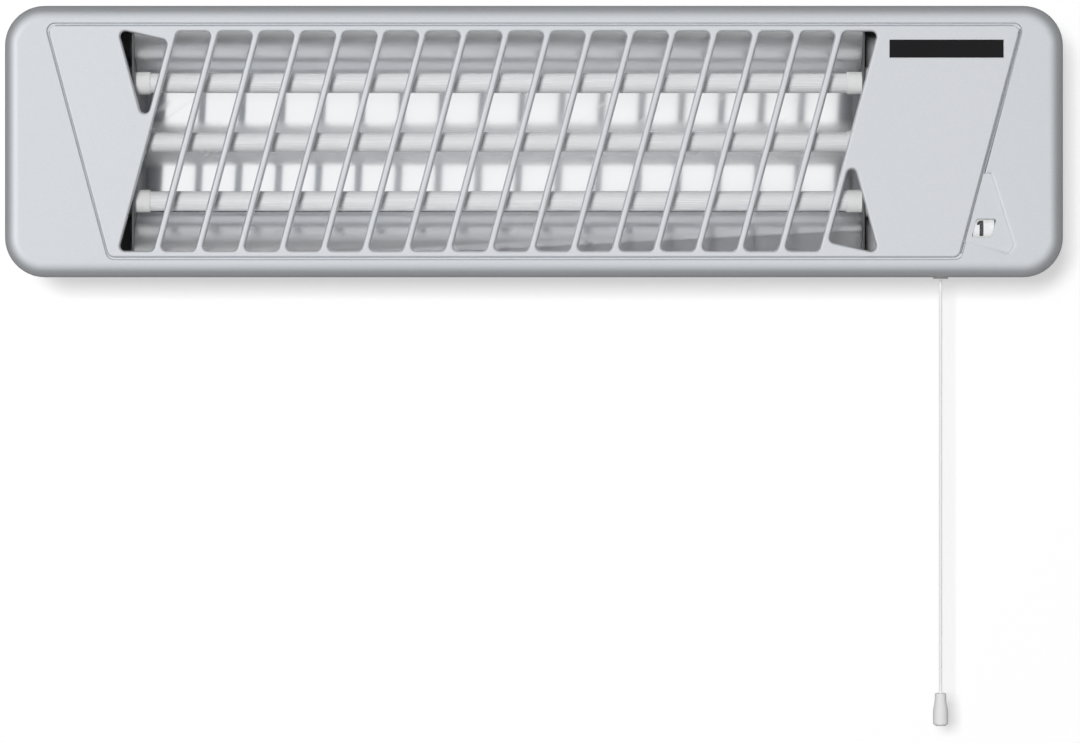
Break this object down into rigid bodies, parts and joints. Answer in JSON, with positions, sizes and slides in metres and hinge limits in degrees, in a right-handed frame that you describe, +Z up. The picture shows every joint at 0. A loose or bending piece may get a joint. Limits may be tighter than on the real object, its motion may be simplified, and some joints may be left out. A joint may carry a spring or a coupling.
{
  "type": "quartz heater",
  "caption": "wall-mounted quartz heater with a slanted slotted grille, a reflector behind its tubes, a tilting bracket and a pull-cord switch with an indicator drum",
  "frame": {"origin": "middle of the wall bracket's back face, on the wall", "axes": "+X to the viewer's right along the heater, -Y out of the wall towards the room, +Z up"},
  "size_m": [0.53, 0.0956, 0.3628],
  "materials": {
    "silver_paint": "satin silver-grey paint",
    "silver_plate": "satin silver-grey paint",
    "black_plate": "blank glossy black plate",
    "polished_reflector": "polished",
    "dull_end": "dull",
    "quartz": "milky quartz",
    "coil_wire": "dull resistance wire",
    "ceramic": "matt steatite",
    "zinc": "bright zinc plate",
    "brass": "plain",
    "rear_paint": "light grey paint",
    "white_nylon": "natural nylon",
    "white_plastic": "white, moulded",
    "black_rubber": "matt",
    "dark_plastic": "phenolic",
    "clear_window": "clear",
    "cord_white": "braided cord",
    "fibre": "pressed fibre"
  },
  "bodies": {
    "bracket": {"wall_bracket": "rear_paint", "pivot_bolts": "zinc", "pivot_nuts": "zinc", "friction_washers": "fibre"},
    "heater": {"rear_cover": "rear_paint", "tilt_lugs": "rear_paint", "lug_rivets": "zinc", "cover_screws": "zinc", "cable_grommet": "black_rubber", "front_housing": "silver_paint", "front_grille": "silver_plate", "grille_clips": "zinc", "name_plate": "black_plate", "reflector": "polished_reflector", "reflector_end_left": "dull_end", "reflector_end_right": "dull_end", "reflector_screws": "zinc", "thermal_cutout": "dark_plastic", "quartz_tube_top": "quartz", "quartz_tube_middle": "quartz", "quartz_tube_bottom": "quartz", "heating_coil_top": "coil_wire", "heating_coil_middle": "coil_wire", "heating_coil_bottom": "coil_wire", "ceramic_caps_left": "ceramic", "ceramic_caps_right": "ceramic", "tube_terminals": "brass", "terminal_block": "white_nylon", "terminal_screws": "brass", "cable_clamp": "white_nylon", "clamp_screws": "zinc", "earth_screw": "brass", "switch_body": "white_nylon", "switch_side_plate": "zinc", "switch_tie_screws": "zinc", "drum_bearing": "zinc", "indicator_window": "clear_window", "cord_bush": "white_nylon"},
    "drum": {"indicator_drum": "white_plastic", "drum_axle": "zinc", "ratchet_wheel": "white_nylon"},
    "lever": {"switch_lever": "white_nylon", "lever_pawl": "zinc", "pawl_pin": "zinc"},
    "cord_slide": {"inner_cord": "cord_white", "cord_knot": "cord_white"},
    "cord_hang": {"pull_cord": "cord_white", "pull_knob": "white_plastic"}
  },
  "joints": [
    {"name": "housing_tilt", "type": "hinge", "parent": "bracket", "child": "heater", "pos_m": [0, -0.028, 0], "axis": [1, 0, 0], "range_deg": [0, 30]},
    {"name": "cord_pull", "type": "slide", "parent": "heater", "child": "cord_slide", "axis": [0, 0, -1], "range_m": [0, 0.012], "stiffness_N_per_m": 300, "springref_m": -0.005},
    {"name": "lever_swing", "type": "hinge", "parent": "heater", "child": "lever", "pos_m": [0.2056, -0.0823, -0.0435], "axis": [-1, 0, 0], "range_deg": [0, 35]},
    {"name": "indicator_turn", "type": "hinge", "parent": "heater", "child": "drum", "pos_m": [0.225, -0.0823, -0.0435], "axis": [1, 0, 0], "continuous": true},
    {"name": "cord_swing", "type": "hinge", "parent": "cord_slide", "child": "cord_hang", "pos_m": [0.2056, -0.06276, -0.0693], "axis": [1, 0, 0], "range_deg": [-30, 0]}
  ],
  "couplings": [
    {"joint": "lever_swing", "follows": "cord_pull", "rad_per_m": 50.79},
    {"joint": "cord_swing", "follows": "housing_tilt", "ratio": -1}
  ]
}
